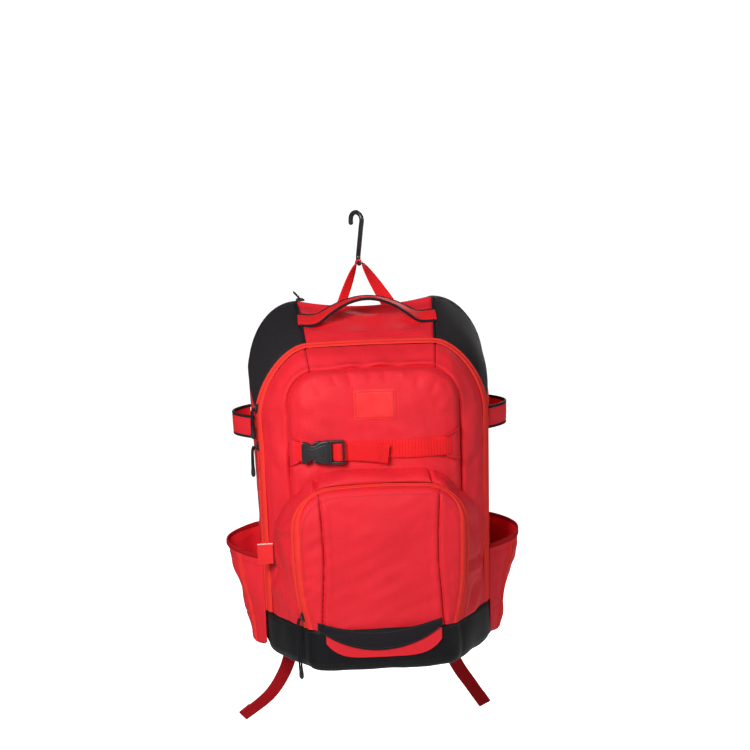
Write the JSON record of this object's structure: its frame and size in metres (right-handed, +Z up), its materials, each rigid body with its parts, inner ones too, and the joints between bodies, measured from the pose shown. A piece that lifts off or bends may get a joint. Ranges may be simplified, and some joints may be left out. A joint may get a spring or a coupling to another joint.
{
  "type": "baseball bat backpack on a fence hook",
  "caption": "Red and black backpack with side sleeves for bats, front pockets with arch zips, a buckled front strap, padded shoulder straps and a wire fence hook.",
  "frame": {"origin": "inside the upper bend of the fence hook, on the line where the hook rests on what it hangs from", "axes": "+Z up, -Y out of the bag's front, +X to the right of someone facing the front"},
  "size_m": [0.4118, 0.2958, 0.7488],
  "materials": {
    "red_fabric": "woven polyester with a fine weave, matt",
    "black_fabric": "woven polyester with a fine weave, matt",
    "coated_fabric": "coated cloth with a low sheen",
    "zip_tape": "coil zip tape, slightly glossy coil",
    "red_webbing": "ribbed polyester webbing",
    "tail_webbing": "ribbed polyester webbing, deep red",
    "black_trim": "narrow woven binding and cord",
    "black_plastic": "moulded acetal, satin",
    "back_mesh": "open spacer mesh over foam",
    "label_fabric": "woven label",
    "hook_coat": "black coated wire, glossy"
  },
  "bodies": {
    "root": {"top_panel": "red_fabric", "side_wall_left": "red_fabric", "side_wall_right": "red_fabric", "front_shell": "red_fabric", "upper_pocket": "red_fabric", "lower_gusset": "red_fabric", "lower_pocket": "red_fabric", "base_inset": "red_fabric", "side_pocket_left": "red_fabric", "side_pocket_right": "red_fabric", "bat_strap_left": "red_fabric", "bat_strap_right": "red_fabric", "strap_wing_left": "red_fabric", "strap_wing_right": "red_fabric", "side_panel_left": "black_fabric", "side_panel_right": "black_fabric", "base_panel": "coated_fabric", "main_zip": "zip_tape", "lower_zip": "zip_tape", "side_zip_left": "zip_tape", "side_zip_right": "zip_tape", "haul_handle": "red_webbing", "hang_loop": "red_webbing", "front_strap_left": "red_webbing", "front_strap_right": "red_webbing", "strap_free_end": "red_webbing", "lower_webbing_left": "tail_webbing", "lower_webbing_right": "tail_webbing", "strap_tail_left": "tail_webbing", "strap_tail_right": "tail_webbing", "rear_zip": "black_trim", "smile_band": "black_trim", "handle_binding_front": "black_trim", "handle_binding_rear": "black_trim", "main_pull_upper": "black_trim", "main_pull_lower": "black_trim", "base_pull": "black_trim", "buckle_socket": "black_plastic", "buckle_latch": "black_plastic", "ladder_lock_left": "black_plastic", "ladder_lock_right": "black_plastic", "main_slider_upper": "black_plastic", "main_slider_lower": "black_plastic", "lower_slider": "black_plastic", "rear_slider": "black_plastic", "back_panel": "back_mesh", "shoulder_strap_left": "back_mesh", "shoulder_strap_right": "back_mesh", "label_patch": "label_fabric", "side_tag": "label_fabric", "fence_hook": "hook_coat"}
  },
  "joints": []
}
